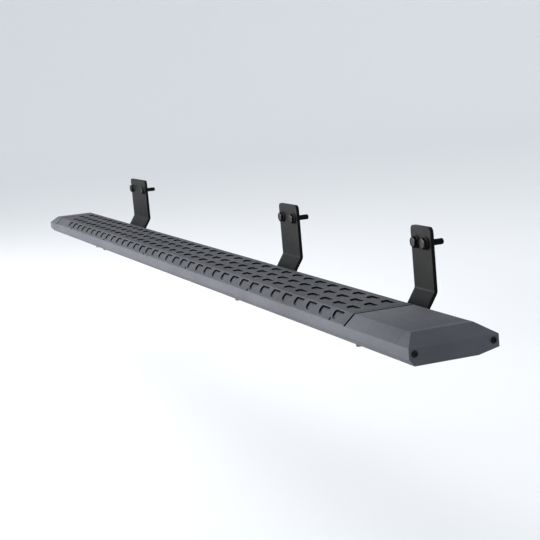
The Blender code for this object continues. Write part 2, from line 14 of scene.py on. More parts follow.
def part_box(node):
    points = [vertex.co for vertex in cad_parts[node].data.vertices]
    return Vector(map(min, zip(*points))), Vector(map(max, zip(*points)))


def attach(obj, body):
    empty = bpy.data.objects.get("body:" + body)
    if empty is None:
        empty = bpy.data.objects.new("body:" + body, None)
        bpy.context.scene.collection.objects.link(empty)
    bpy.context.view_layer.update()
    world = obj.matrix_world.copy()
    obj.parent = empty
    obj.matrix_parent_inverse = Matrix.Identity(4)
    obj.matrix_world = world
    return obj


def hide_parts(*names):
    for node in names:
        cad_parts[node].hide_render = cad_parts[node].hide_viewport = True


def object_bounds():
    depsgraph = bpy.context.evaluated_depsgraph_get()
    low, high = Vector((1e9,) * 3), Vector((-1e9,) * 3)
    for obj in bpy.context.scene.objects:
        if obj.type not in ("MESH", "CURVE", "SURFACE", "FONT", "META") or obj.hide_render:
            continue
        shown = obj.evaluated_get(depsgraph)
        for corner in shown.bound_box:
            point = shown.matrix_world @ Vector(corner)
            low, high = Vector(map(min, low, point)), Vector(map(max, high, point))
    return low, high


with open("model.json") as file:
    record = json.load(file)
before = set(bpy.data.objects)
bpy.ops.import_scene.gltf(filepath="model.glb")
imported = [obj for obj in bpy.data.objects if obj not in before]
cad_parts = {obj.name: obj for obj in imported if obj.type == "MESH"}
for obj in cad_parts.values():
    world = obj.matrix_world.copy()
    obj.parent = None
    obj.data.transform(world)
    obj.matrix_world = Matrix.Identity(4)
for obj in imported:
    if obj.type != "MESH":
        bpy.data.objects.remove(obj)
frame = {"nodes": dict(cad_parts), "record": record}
CAD_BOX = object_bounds()

# Board section, measured from the deck's middle line and the board's underside
FRONT_CHAMFER_RUN = 0.0186
REAR_CHAMFER_RUN = 0.0232
WALL_TOP = 0.0256
COVER_THICKNESS = 0.0034
COVER_EDGE_RADIUS = 0.0014
COVER_RIM = 0.0004
RIM_SHOULDER = 0.3            # how far into the rim, and how deep, its rounding turns

# Tread scales: half-moons with their straight edges to the rear, in rows along the board
SCALE_PITCH = 0.0522
SCALE_HALF_LENGTH = 0.0168
SCALE_REACH = 0.0175
SCALE_CORNER = 0.0032
SCALE_FULLNESS = 0.85         # under 1 makes the round side fuller than an ellipse
SCALE_CENTER = 0.45           # the floor's middle, as a share of the reach
SCALE_CORNER_TURNS = (22, 56, 90)
SCALE_DEPTH = 0.0026
# Each row: its straight edges' place across the deck, its last scale's middle and its number of scales
DECK_SCALE_ROWS = ((-0.0219, 0.8951, 37), (0.0076, 0.8951, 38), (0.0366, 0.8951, 38))
# The same for the front chamfer's row, whose edges are measured up the chamfer from its foot
CHAMFER_SCALE_ROW = (0.0228, 0.9000, 36)
LIP_RADIUS = 0.0002
LIP_SUPPORT = 0.0005
UNDERCUT = 0.0001
# The wall under each scale's lip and the floor's rim this wide beside it take the painted shade, near the
# straight edge
RECESS_FLOOR = 0.0030
PAINTED_SHADE_RINGS = (3, 4)
PAINTED_SHADE_REACH = 0.0110         # the painted shade goes this far from the straight edge, over the wall and the floor's rim
FLOOR_SHARES = (0.75, 0.50, 0.25)
FLOOR_RISE = 0.0006
CELL_COLUMNS = 14
CELL_ROWS = 6
CELL_BEHIND_LIP = 0.0010
CELL_BEFORE_SCALE = 0.0015
LAST_CELL_END = 0.9236
CELL_COUNT = 38

# Edge rounding of the other pieces, and how long an edge has to be to get it
COAT_EDGE = 0.0007
CAP_EDGE = 0.0008
STRAP_EDGE = 0.0007
SHORTEST_BOARD_EDGE = 0.5
SHORTEST_END_EDGE = 0.004
SHORTEST_STRAP_EDGE = 0.006
ROUNDED_ANGLE = math.radians(18)
SMOOTH_ANGLE = math.radians(32)
FLAT_ANGLE = math.radians(0.5)
CAD_WELD = 0.00001

# Which edges of the board's pieces stay sharp, and which faces are painted black as shade
CAP_SEAM = 0.0005             # the cap's seam, out from the extrusion's end
SEAM_REACH = 0.0012           # edges this near the seam stay sharp
END_FACE_REACH = 0.0020       # end faces as far out as this, past the extrusion's end, are painted black as shade
UNDER_COVER_REACH = 0.0680    # upward faces this near the middle line lie under the cover and are painted black as shade
FACING_UP = 0.6
FACING_ALONG = 0.45

# Fasteners
TURNED_SIDES = 48
THREAD_SIDES = 24
M10_RADIUS = 0.0050
M10_PITCH = 0.0015
THREAD_DEPTH = 0.0009
# One turn of thread: shares of its pitch, with the depth there
THREAD_PATTERN = ((0.0, THREAD_DEPTH), (0.12, THREAD_DEPTH), (0.44, 0.0), (0.56, 0.0), (0.88, THREAD_DEPTH))
M10_ACROSS_FLATS = 0.0160
NUT_HOLE = 0.0053
WASHER_RADIUS = 0.0105
WASHER_HOLE = 0.0055
T_HEAD_HEIGHT = 0.0060
T_HEAD_ROUNDING = 0.0008
NUT_LEAD = 0.0006
NUT_FACE_SHARE = 0.96         # a nut's flat face, as a share of its width across the flats
WASHER_RIM = 0.0003
HEX_CHAMFER = math.tan(math.radians(30))
RIVET_SHANK_RADIUS = 0.0016
RIVET_SIDES = 32
RIVET_LENGTH = 0.0080
RIVET_HEAD_HEIGHT = 0.0011
RIVET_HEAD_RIM = 0.0002
RIVET_FOOT_SHARE = 0.97
RIVET_DOME_STEPS = 7
CAP_SCREW_GAP = 0.0003
CAP_SCREW_KEY = 0.0040
CAP_SCREW_KEY_DEPTH = 0.0018
CAP_SCREW_KEY_LEAD = 0.0003
CAP_SCREW_SHANK = 0.0030
CAP_SCREW_TOP = CAP_SCREW_KEY * 0.72
CAP_SCREW_RIM = 0.0002
CAP_SCREW_RIM_TURN = math.radians(8)
CAP_SCREW_DOME_STEPS = 10
BOLT_FLANGE_HEIGHT = 0.0020
BOLT_FLANGE_EDGE = 0.0010
BOLT_FLANGE_RADIUS = 0.0108
BOLT_FLANGE_TOP_SHARE = 0.88
BOLT_FLANGE_FOOT = 0.0003
BOLT_HEAD_HEIGHT = 0.0064
BOLT_FACE_SHARE = 0.95
BOLT_DISH_SHARES = (0.80, 0.76)
BOLT_LEAD = 0.0004
BOLT_NECK = 0.0001
BOLT_NECK_SHARE = 0.4         # how much of the shank is plain, and where its thread ends
BOLT_THREAD_SHARE = 0.35

# Stage
FLOOR_DROP = 0.32
STAGE_RADIUS = 9.0
STAGE_RIM = 5.0
STAGE_SIDES = 96
STAGE_STEPS = 12
STAGE_COLOR = (0.86, 0.87, 0.88, 1.0)
SKY_COLOR = (0.93, 0.96, 1.0, 1.0)
SKY_STRENGTH = 0.85
CAMERA_PLACE = (2.7211, -0.8728, 0.3467)
CAMERA_RIGHT = (0.361379, 0.928257, -0.088001)
CAMERA_DOWN = (0.107362, -0.135176, -0.984988)
CAMERA_LENS = 88.2
CAMERA_SENSOR = 36.0

WELD = 0.000002


def mesh_piece(name, bm, materials, body, replaced):
    """A finished piece from a bmesh, riding on its body in place of its CAD nodes."""
    mesh = bpy.data.meshes.new(name)
    bm.to_mesh(mesh)
    bm.free()
    for material in materials:
        mesh.materials.append(material)
    mesh.shade_smooth()
    mesh.set_sharp_from_angle(angle=SMOOTH_ANGLE)
    piece = bpy.data.objects.new(name, mesh)
    bpy.context.scene.collection.objects.link(piece)
    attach(piece, body)
    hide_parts(*replaced)


def body_of(node):
    for body, members in frame["record"]["behaviour"]["bodies"].items():
        if node in members:
            return body
    raise KeyError(node)


def center_of(node):
    low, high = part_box(node)
    return (low + high) / 2


# ---------------------------------------------------------------- materials


def new_node(tree, kind, inputs, **settings):
    """A shader node with its settings and its inputs, each a value or another node's output."""
    node = tree.nodes.new(kind)
    for name, value in settings.items():
        setattr(node, name, value)
    for name, value in inputs.items():
        if isinstance(value, bpy.types.NodeSocket):
            tree.links.new(value, node.inputs[name])
        else:
            node.inputs[name].default_value = value
    return node


def noise(tree, coords, scale, detail, rough=0.5):
    made = new_node(
        tree, "ShaderNodeTexNoise", {"Vector": coords, "Scale": scale, "Detail": detail, "Roughness": rough}
    )
    return made.outputs["Fac"]


def ramp(tree, value, low, high, low_out=0.0, high_out=1.0):
    made = new_node(
        tree, "ShaderNodeMapRange",
        {"Value": value, "From Min": low, "From Max": high, "To Min": low_out, "To Max": high_out},
        interpolation_type="SMOOTHSTEP",
    )
    return made.outputs["Result"]


def mixed(tree, factor, first, second):
    made = tree.nodes.new("ShaderNodeMix")
    made.data_type = "RGBA"
    for index, value in ((0, factor), (6, first), (7, second)):
        if isinstance(value, bpy.types.NodeSocket):
            tree.links.new(value, made.inputs[index])
        else:
            made.inputs[index].default_value = value if index == 0 else (*value, 1.0)
    return made.outputs[2]


def math_node(tree, operation, first, second):
    made = tree.nodes.new("ShaderNodeMath")
    made.operation = operation
    for index, value in enumerate((first, second)):
        if isinstance(value, bpy.types.NodeSocket):
            tree.links.new(value, made.inputs[index])
        else:
            made.inputs[index].default_value = value
    return made.outputs[0]


def edge_mask(tree, radius):
    """Near 1 on edges and corners, 0 on flat faces."""
    rounded = new_node(tree, "ShaderNodeBevel", {"Radius": radius}, samples=6)
    plain = tree.nodes.new("ShaderNodeNewGeometry")
    same = tree.nodes.new("ShaderNodeVectorMath")
    same.operation = "DOT_PRODUCT"
    tree.links.new(rounded.outputs["Normal"], same.inputs[0])
    tree.links.new(plain.outputs["True Normal"], same.inputs[1])
    return ramp(tree, same.outputs["Value"], 1.0, 0.90)


def coat_material(
    name, color, edge_highlight_color, roughness, grain_scale, grain_depth, specular, metallic=0.0, streaks=0.0,
    edge_radius=0.0009,
):
    """A sprayed and baked coat: fine grain, slow colour drift, faint lines along X and a painted highlight
    along its edges.
    """
    material = bpy.data.materials.new(name)
    material.use_nodes = True
    tree = material.node_tree
    shader = tree.nodes["Principled BSDF"]
    shader.inputs["Metallic"].default_value = metallic
    shader.inputs["Specular IOR Level"].default_value = specular
    coords = tree.nodes.new("ShaderNodeTexCoord").outputs["Object"]

    drift = noise(tree, coords, 7.0, 3.0)
    mottle = noise(tree, coords, 90.0, 4.0, 0.6)
    grain = noise(tree, coords, grain_scale, 2.0, 0.55)
    pores = noise(tree, coords, grain_scale * 2.7, 1.0)
    stretched = new_node(tree, "ShaderNodeMapping", {"Vector": coords, "Scale": (0.012, 1.0, 1.0)})
    lines = noise(tree, stretched.outputs["Vector"], 420.0, 2.0)

    dark = tuple(value * 0.86 for value in color)
    light = tuple(min(1.0, value * 1.14) for value in color)
    tone = mixed(tree, ramp(tree, drift, 0.32, 0.68), dark, light)
    tone = mixed(tree, ramp(tree, mottle, 0.35, 0.72, 0.0, 0.30), tone, dark)
    tone = mixed(tree, ramp(tree, lines, 0.42, 0.70, 0.0, streaks), tone, light)
    speck = ramp(tree, grain, 0.58, 0.72, 0.0, 0.35)
    tone = mixed(tree, speck, tone, light)
    # Painted highlight: edges and corners are lightened towards the edge colour, in patches, for light caught
    # on rounded edges
    edges = edge_mask(tree, edge_radius)
    patchy = ramp(tree, mottle, 0.30, 0.62, 0.25, 1.0)
    painted_edge_highlight = math_node(tree, "MULTIPLY", edges, patchy)
    painted_edge_highlight = math_node(tree, "MULTIPLY", painted_edge_highlight, 0.55)
    tree.links.new(mixed(tree, painted_edge_highlight, tone, edge_highlight_color), shader.inputs["Base Color"])

    gloss = ramp(tree, grain, 0.3, 0.7, roughness - 0.06, roughness + 0.07)
    gloss = math_node(tree, "ADD", gloss, ramp(tree, mottle, 0.3, 0.7, -0.03, 0.04))
    gloss = math_node(tree, "SUBTRACT", gloss, math_node(tree, "MULTIPLY", painted_edge_highlight, 0.12))
    tree.links.new(gloss, shader.inputs["Roughness"])

    height = math_node(tree, "ADD", grain, math_node(tree, "MULTIPLY", pores, 0.5))
    bump = new_node(tree, "ShaderNodeBump", {"Height": height, "Strength": 0.5, "Distance": grain_depth})
    tree.links.new(bump.outputs["Normal"], shader.inputs["Normal"])
    return material


def painted_shade_material():
    """Matt near-black for the shade inside a scale's hollow, a groove or a seam: painted shade."""
    material = bpy.data.materials.new("scale_recess_painted_shade")
    material.use_nodes = True
    tree = material.node_tree
    shader = tree.nodes["Principled BSDF"]
    shader.inputs["Specular IOR Level"].default_value = 0.05
    coords = tree.nodes.new("ShaderNodeTexCoord").outputs["Object"]
    dust = noise(tree, coords, 260.0, 3.0)
    # Painted shade: the near-black tone, mottled by the noise, stands in for the dark of these hollows and
    # gaps
    tone = mixed(tree, ramp(tree, dust, 0.45, 0.75), (0.006, 0.006, 0.007), (0.016, 0.016, 0.017))
    tree.links.new(tone, shader.inputs["Base Color"])
    tree.links.new(ramp(tree, dust, 0.3, 0.7, 0.75, 0.95), shader.inputs["Roughness"])
    return material


def zinc_material():
    """Zinc-plated steel, darker than real zinc as painted shade: patchy crystals with a faint warm and cool
    tint.
    """
    material = bpy.data.materials.new("zinc_plate_painted_shade")
    material.use_nodes = True
    tree = material.node_tree
    shader = tree.nodes["Principled BSDF"]
    shader.inputs["Metallic"].default_value = 1.0
    coords = tree.nodes.new("ShaderNodeTexCoord").outputs["Object"]
    cells = new_node(tree, "ShaderNodeTexVoronoi", {"Vector": coords, "Scale": 420.0})
    cloud = noise(tree, coords, 160.0, 4.0, 0.6)
    fine = noise(tree, coords, 3000.0, 2.0)
    # Painted shade: these greys sit well below zinc's own, for the shade that the studs and nuts sit in
    tone = mixed(tree, ramp(tree, cloud, 0.35, 0.65), (0.20, 0.205, 0.215), (0.30, 0.295, 0.28))
    tone = mixed(tree, ramp(tree, cells.outputs["Distance"], 0.1, 0.6, 0.0, 0.25), tone, (0.16, 0.165, 0.18))
    tree.links.new(tone, shader.inputs["Base Color"])
    tree.links.new(ramp(tree, cloud, 0.3, 0.7, 0.28, 0.48), shader.inputs["Roughness"])
    bump = new_node(tree, "ShaderNodeBump", {"Height": fine, "Strength": 0.3, "Distance": 0.00003})
    tree.links.new(bump.outputs["Normal"], shader.inputs["Normal"])
    return material


# ---------------------------------------------------------------- tread cover


class CoverSection:
    """The cover's outside across the board, by the distance v from the front chamfer's foot."""

    def __init__(self, half_width, wall_top, height):
        self.feet = (Vector((-half_width, wall_top)), Vector((half_width, wall_top)))
        self.edges = (
            Vector((-half_width + FRONT_CHAMFER_RUN, height)), Vector((half_width - REAR_CHAMFER_RUN, height))
        )
        front = self.edges[0] - self.feet[0]
        rear = self.feet[1] - self.edges[1]
        self.front_length = front.length
        self.deck_length = (self.edges[1] - self.edges[0]).length
        self.length = self.front_length + self.deck_length + rear.length
        self.along = (front.normalized(), Vector((1, 0)), rear.normalized())
        self.corners = (self.front_length, self.front_length + self.deck_length)
        self.turns = (-self.along[0].angle(self.along[1]), -self.along[1].angle(self.along[2]))

    def tangent(self, corner):
        return COVER_EDGE_RADIUS * math.tan(abs(self.turns[corner]) / 2)

    def corner_lines(self, corner, steps=4):
        """The places across the cover that a rounded corner needs."""
        reach = self.tangent(corner)
        return [self.corners[corner] + reach * (2 * step / steps - 1) for step in range(steps + 1)]

    def at(self, v, w):
        """The (y, z) point at a distance v across the cover and a height w off its outside."""
        starts = (self.feet[0], self.edges[0], self.edges[1])
        offsets = (0.0, *self.corners)
        for corner in (0, 1):
            reach = self.tangent(corner)
            if abs(v - self.corners[corner]) <= reach:
                direction = self.along[corner]
                normal = Vector((-direction.y, direction.x))
                begin = starts[corner] + direction * (self.corners[corner] - reach - offsets[corner])
                center = begin - normal * COVER_EDGE_RADIUS
                share = (v - self.corners[corner] + reach) / (2 * reach)
                normal.rotate(Matrix.Rotation(self.turns[corner] * share, 2))
                return center + normal * (COVER_EDGE_RADIUS + w)
        part = 0 if v < self.corners[0] else 1 if v < self.corners[1] else 2
        direction = self.along[part]
        normal = Vector((-direction.y, direction.x))
        return starts[part] + direction * (v - offsets[part]) + normal * w

    def underside(self):
        """The four (y, z) points of the cover's underside."""
        points = [self.at(0.0, -COVER_THICKNESS)]
        for corner, edge in enumerate(self.edges):
            direction = self.along[corner]
            inward = Vector((direction.y, -direction.x))
            inward.rotate(Matrix.Rotation(self.turns[corner] / 2, 2))
            points.append(edge + inward * COVER_THICKNESS / math.cos(self.turns[corner] / 2))
        points.append(self.at(self.length, -COVER_THICKNESS))
        return points


def scale_outline():
    """One scale's closed outline, from its front left round to its left side.

    Its points are (a, b), with a along the board and the straight edge at b = 0.
    """
    reach = SCALE_REACH - SCALE_CORNER
    across = SCALE_HALF_LENGTH - SCALE_CORNER

    def round_side(degrees):
        turn = math.radians(degrees)
        side = math.copysign(abs(math.cos(turn)) ** SCALE_FULLNESS, math.cos(turn))
        return (SCALE_HALF_LENGTH * side, reach * math.sin(turn) - SCALE_CORNER)

    def corner(side, degrees):
        turn = math.radians(degrees)
        return (side * across + SCALE_CORNER * math.cos(turn), SCALE_CORNER * (math.sin(turn) - 1))

    straight = CELL_COLUMNS + 1 - 2 * len(SCALE_CORNER_TURNS)
    points = [round_side(225 + 90 * step / CELL_COLUMNS) for step in range(CELL_COLUMNS + 1)]
    points += [round_side(315 + 45 * step / (CELL_ROWS - 1)) for step in range(1, CELL_ROWS)]
    points += [corner(1, degrees) for degrees in SCALE_CORNER_TURNS]
    points += [(across * (1 - 2 * step / (straight + 1)), 0.0) for step in range(1, straight + 1)]
    points += [corner(-1, 180 - degrees) for degrees in reversed(SCALE_CORNER_TURNS)]
    points += [round_side(180 + 45 * step / (CELL_ROWS - 1)) for step in range(CELL_ROWS - 1)]
    return points


def outline_normals(outline):
    normals = []
    for index in range(len(outline)):
        before = Vector(outline[index - 1])
        after = Vector(outline[(index + 1) % len(outline)])
        step = (after - before).normalized()
        normals.append(Vector((step.y, -step.x)))
    return normals


def scale_rings():
    """Each ring of one scale, from just outside its lip to its floor's middle, as (a, b, w) points."""
    outline = scale_outline()
    steps = (
        (LIP_SUPPORT, 0.0), (LIP_RADIUS, 0.0), (0.0, -LIP_RADIUS),
        (UNDERCUT, -SCALE_DEPTH), (-RECESS_FLOOR, -SCALE_DEPTH),
    )
    rings = [[] for _ in range(len(steps) + len(FLOOR_SHARES))]
    center = Vector((0.0, -SCALE_REACH * SCALE_CENTER))
    for point, normal in zip(outline, outline_normals(outline)):
        for ring, (out, w) in zip(rings, steps):
            ring.append((point[0] + normal.x * out, point[1] + normal.y * out, w))
        edge = Vector(point) - normal * RECESS_FLOOR
        for ring, share in zip(rings[len(steps):], FLOOR_SHARES):
            inner = center + (edge - center) * share
            ring.append((inner.x, inner.y, FLOOR_RISE * (1 - share) - SCALE_DEPTH))
    return rings


def add_scale(bm, rings, border, place):
    """Fills one cell: border verts in the outline's order, then the scale's rings, then its middle."""
    before = border
    for number, ring in enumerate(rings):
        verts = [bm.verts.new(place(*point)) for point in ring]
        for index in range(len(verts)):
            after = (index + 1) % len(verts)
            face = bm.faces.new((before[index], before[after], verts[after], verts[index]))
            # Painted shade: the wall and the floor's rim near the straight edge take the near-black material
            dark = number in PAINTED_SHADE_RINGS and ring[index][1] > -PAINTED_SHADE_REACH
            face.material_index = 1 if dark else 0
        before = verts
    bm.faces.new(before)


def rim_drop(at, low, high):
    """How far the rounded rim has dropped at a distance from the nearer border."""
    inside = min(at - low, high - at)
    if inside >= COVER_RIM * 0.999:
        return 0.0
    return COVER_RIM if inside < COVER_RIM * 0.1 else COVER_RIM * RIM_SHOULDER


class CoverGrid:
    """The cover's outside as a grid of verts, made where they are asked for, in lines along and across it."""

    def __init__(self, section, ends, origin):
        self.section = section
        self.ends = ends
        self.origin = origin
        self.bm = bmesh.new()
        self.verts = {}
        rim = (0.0, COVER_RIM * RIM_SHOULDER, COVER_RIM)
        first = LAST_CELL_END - CELL_COUNT * SCALE_PITCH
        columns = CELL_COUNT * CELL_COLUMNS
        self.along = [ends[0] + at for at in rim]
        self.first_column = len(self.along)
        self.along += [first + index * SCALE_PITCH / CELL_COLUMNS for index in range(columns + 1)]
        self.along += [ends[1] - at for at in reversed(rim)]

        deck_start = section.corners[0] - section.edges[0].x
        rows = [CHAMFER_SCALE_ROW] + [(deck_start + rear, *rest) for rear, *rest in DECK_SCALE_ROWS]
        self.across = [*rim, *(section.length - at for at in rim)]
        self.across += section.corner_lines(0) + section.corner_lines(1)
        lows = []
        for rear, _, _ in rows:
            low = rear - SCALE_REACH - CELL_BEFORE_SCALE
            high = rear + CELL_BEHIND_LIP
            lines = [low + (high - low) * step / CELL_ROWS for step in range(CELL_ROWS + 1)]
            self.across += lines
            lows.append(lines[0])
        self.across.sort()
        self.rows = [(*row, self.across.index(low)) for row, low in zip(rows, lows)]

    def place(self, u, v, w):
        y, z = self.section.at(v, w)
        return self.origin + Vector((u, y, z))

    def vert(self, i, j):
        if (i, j) not in self.verts:
            u, v = self.along[i], self.across[j]
            drop = max(rim_drop(u, *self.ends), rim_drop(v, 0.0, self.section.length))
            self.verts[i, j] = self.bm.verts.new(self.place(u, v, -drop))
        return self.verts[i, j]

    def add_quads(self, columns, lines):
        for i in columns:
            for j in lines:
                corners = ((i, j), (i + 1, j), (i + 1, j + 1), (i, j + 1))
                self.bm.faces.new([self.vert(*corner) for corner in corners])

    def border(self, left, first):
        """The verts round one cell, in the order of a scale's outline."""
        right, last = left + CELL_COLUMNS, first + CELL_ROWS
        around = [(i, first) for i in range(left, right + 1)]
        around += [(right, j) for j in range(first + 1, last)]
        around += [(i, last) for i in range(right, left - 1, -1)]
        around += [(left, j) for j in range(last - 1, first, -1)]
        return [self.vert(*spot) for spot in around]

    def add_row(self, rear, last_middle, count, first):
        """One row of scales, with plain cells at its far end and along both rims."""
        start = self.first_column
        plain = (CELL_COUNT - count) * CELL_COLUMNS
        lines = range(first, first + CELL_ROWS)
        self.add_quads(range(start + plain), lines)
        self.add_quads(range(start + CELL_COUNT * CELL_COLUMNS, len(self.along) - 1), lines)
        rings = scale_rings()
        for number in range(count):
            left = start + (CELL_COUNT - 1 - number) * CELL_COLUMNS
            middle = last_middle - number * SCALE_PITCH

            def place_scale(a, b, w, middle=middle):
                return self.place(middle + a, rear + b, w)

            add_scale(self.bm, rings, self.border(left, first), place_scale)

    def add_underside(self):
        """The flat inside of the cover, its two long edges and its two ends."""
        bm = self.bm
        corners = self.section.underside()
        under = []
        for u in self.along:
            under.append([bm.verts.new(self.origin + Vector((u, *point))) for point in corners])
        top = len(self.across) - 1
        for i in range(len(self.along) - 1):
            for k in range(3):
                bm.faces.new((under[i][k], under[i][k + 1], under[i + 1][k + 1], under[i + 1][k]))
            bm.faces.new((self.vert(i, 0), under[i][0], under[i + 1][0], self.vert(i + 1, 0)))
            bm.faces.new((self.vert(i, top), self.vert(i + 1, top), under[i + 1][3], under[i][3]))
        last = len(self.along) - 1
        near_end = bm.faces.new([self.vert(last, j) for j in range(top, -1, -1)] + under[-1])
        far_end = bm.faces.new([self.vert(0, j) for j in range(top + 1)] + under[0][::-1])
        # The cover's ends take the painted shade, for the dark of the grooves at its ends
        near_end.material_index = far_end.material_index = 1


def make_tread_cover(origin, coat, shade_paint):
    low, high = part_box("tread_cover")
    board_low, board_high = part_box("board_extrusion")
    section = CoverSection((board_high.y - board_low.y) / 2, WALL_TOP, high.z - origin.z)
    grid = CoverGrid(section, (low.x - origin.x, high.x - origin.x), origin)
    in_rows = set()
    for rear, last_middle, count, first in grid.rows:
        grid.add_row(rear, last_middle, count, first)
        in_rows.update(range(first, first + CELL_ROWS))
    between = [j for j in range(len(grid.across) - 1) if j not in in_rows]
    grid.add_quads(range(len(grid.along) - 1), between)
    grid.add_underside()
    bm = grid.bm
    bmesh.ops.remove_doubles(bm, verts=bm.verts, dist=WELD)
    bmesh.ops.dissolve_degenerate(bm, edges=bm.edges, dist=WELD)
    mesh_piece("tread_cover_pressed", bm, [coat, shade_paint], "board", ["tread_cover"])


# ---------------------------------------------------------------- pieces from the CAD nodes


def joined_copy(node):
    """The CAD node's shape with its split corners joined and its flat faces whole."""
    source = frame["nodes"][node].data
    mesh = bpy.data.meshes.new("copy")
    mesh.from_pydata([v.co for v in source.vertices], [], [p.vertices[:] for p in source.polygons])
    bm = bmesh.new()
    bm.from_mesh(mesh)
    bpy.data.meshes.remove(mesh)
    bmesh.ops.remove_doubles(bm, verts=bm.verts, dist=CAD_WELD)
    bmesh.ops.dissolve_limit(bm, angle_limit=FLAT_ANGLE, verts=bm.verts, edges=bm.edges)
    return bm


def round_edges(bm, width, shortest, keep):
    """Rounds the sharp edges that are long enough and that keep() doesn't hold back."""
    chosen = []
    for edge in bm.edges:
        if len(edge.link_faces) != 2 or edge.calc_length() < shortest:
            continue
        if edge.calc_face_angle() > ROUNDED_ANGLE and not keep(edge):
            chosen.append(edge)
    bmesh.ops.bevel(
        bm, geom=chosen, offset=width, segments=3, profile=0.5, affect="EDGES", clamp_overlap=True
    )


def refine(node, materials, width, shortest, keep=lambda edge: False, shade_faces=lambda face: False):
    """The CAD node with rounded edges; the faces that its last argument picks take the second material,
    painted shade.
    """
    bm = joined_copy(node)
    round_edges(bm, width, shortest, keep)
    bm.normal_update()
    for face in bm.faces:
        face.material_index = 1 if shade_faces(face) else 0
    mesh_piece(f"{node}_finished", bm, materials, body_of(node), [node])


# ---------------------------------------------------------------- turned pieces


def ring_solid(bm, rings, closed):
    """Joins rings of equal length into a skin; closed joins the last ring to the first, else fills both."""
    verts = [[bm.verts.new(point) for point in ring] for ring in rings]
    pairs = list(zip(verts, verts[1:]))
    if closed:
        pairs.append((verts[-1], verts[0]))
    for lower, upper in pairs:
        for index in range(len(lower)):
            after = (index + 1) % len(lower)
            bm.faces.new((lower[index], lower[after], upper[after], upper[index]))
    if not closed:
        bm.faces.new(verts[0][::-1])
        bm.faces.new(verts[-1])


def circle(radius, z, sides=TURNED_SIDES):
    turns = [2 * math.pi * step / sides for step in range(sides)]
    return [(radius * math.cos(turn), radius * math.sin(turn), z) for turn in turns]


def hexagon(across_flats, z, chamfer_from=None, rise=0.0):
    """A hexagon's outline; past the chamfer's radius its points drop back by rise for each unit."""
    points = []
    for step in range(TURNED_SIDES):
        turn = 2 * math.pi * step / TURNED_SIDES
        to_flat = (turn + math.pi / 6) % (math.pi / 3) - math.pi / 6
        radius = across_flats / 2 / math.cos(to_flat)
        drop = max(0.0, radius - chamfer_from) * rise if chamfer_from else 0.0
        points.append((radius * math.cos(turn), radius * math.sin(turn), z + drop))
    return points


def finish_turned(bm, name, material, node, matrix):
    bmesh.ops.remove_doubles(bm, verts=bm.verts, dist=WELD)
    bmesh.ops.dissolve_degenerate(bm, edges=bm.edges, dist=WELD)
    bmesh.ops.recalc_face_normals(bm, faces=bm.faces)
    bm.transform(matrix)
    mesh_piece(name, bm, [material], body_of(node), [node])


def thread(bm, low, high):
    """An M10 threaded rod from z = low to z = high, with a chamfered tip at its low end."""
    turns = math.ceil((high - low) / M10_PITCH) + 1
    rings = []
    for number in range(-1, turns):
        for share, cut in THREAD_PATTERN:
            ring = []
            for step in range(THREAD_SIDES):
                turn = 2 * math.pi * step / THREAD_SIDES
                z = low + (number + share + step / THREAD_SIDES) * M10_PITCH
                reach = min(M10_RADIUS - cut, M10_RADIUS - THREAD_DEPTH + max(0.0, z - low))
                z = min(max(z, low), high)
                ring.append((reach * math.cos(turn), reach * math.sin(turn), z))
            rings.append(ring)
    ring_solid(bm, rings, closed=False)


def make_nut(node, material):
    low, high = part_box(node)
    height = high.z - low.z
    inner = M10_ACROSS_FLATS / 2 * NUT_FACE_SHARE
    mouth = NUT_HOLE + NUT_LEAD
    bm = bmesh.new()
    rings = [
        circle(NUT_HOLE, NUT_LEAD), circle(mouth, 0.0), circle(inner, 0.0),
        hexagon(M10_ACROSS_FLATS, 0.0, chamfer_from=inner, rise=HEX_CHAMFER),
        hexagon(M10_ACROSS_FLATS, height, chamfer_from=inner, rise=-HEX_CHAMFER),
        circle(inner, height), circle(mouth, height), circle(NUT_HOLE, height - NUT_LEAD),
    ]
    ring_solid(bm, rings, closed=True)
    place = Matrix.Translation((center_of(node).x, center_of(node).y, low.z))
    finish_turned(bm, f"{node}_finished", material, node, place)


def make_washer(node, material):
    low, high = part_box(node)
    height = high.z - low.z
    rim = WASHER_RIM
    bm = bmesh.new()
    rings = [
        circle(WASHER_HOLE, rim), circle(WASHER_HOLE + rim, 0.0), circle(WASHER_RADIUS - rim, 0.0),
        circle(WASHER_RADIUS, rim), circle(WASHER_RADIUS, height - rim),
        circle(WASHER_RADIUS - rim, height), circle(WASHER_HOLE + rim, height),
        circle(WASHER_HOLE, height - rim),
    ]
    ring_solid(bm, rings, closed=True)
    place = Matrix.Translation((center_of(node).x, center_of(node).y, low.z))
    finish_turned(bm, f"{node}_finished", material, node, place)


def make_t_bolt(node, material):
    """A square head with rounded edges over a threaded shank."""
    low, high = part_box(node)
    width = high.x - low.x
    length = high.z - low.z
    bm = bmesh.new()
    bmesh.ops.create_cube(bm, size=1.0)
    bmesh.ops.scale(bm, verts=bm.verts, vec=(width, width, T_HEAD_HEIGHT))
    bmesh.ops.translate(bm, verts=bm.verts, vec=(0, 0, length - T_HEAD_HEIGHT / 2))
    bmesh.ops.bevel(
        bm, geom=bm.edges[:], offset=T_HEAD_ROUNDING, segments=3, profile=0.5, affect="EDGES"
    )
    thread(bm, 0.0, length - T_HEAD_HEIGHT / 2)
    place = Matrix.Translation((center_of(node).x, center_of(node).y, low.z))
    finish_turned(bm, f"{node}_finished", material, node, place)


def cap_screw_seat(side):
    """How far out an end cap's screw heads start."""
    low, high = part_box("end_cap_near" if side > 0 else "end_cap_far")
    return max(abs(low.x), abs(high.x)) + CAP_SCREW_GAP


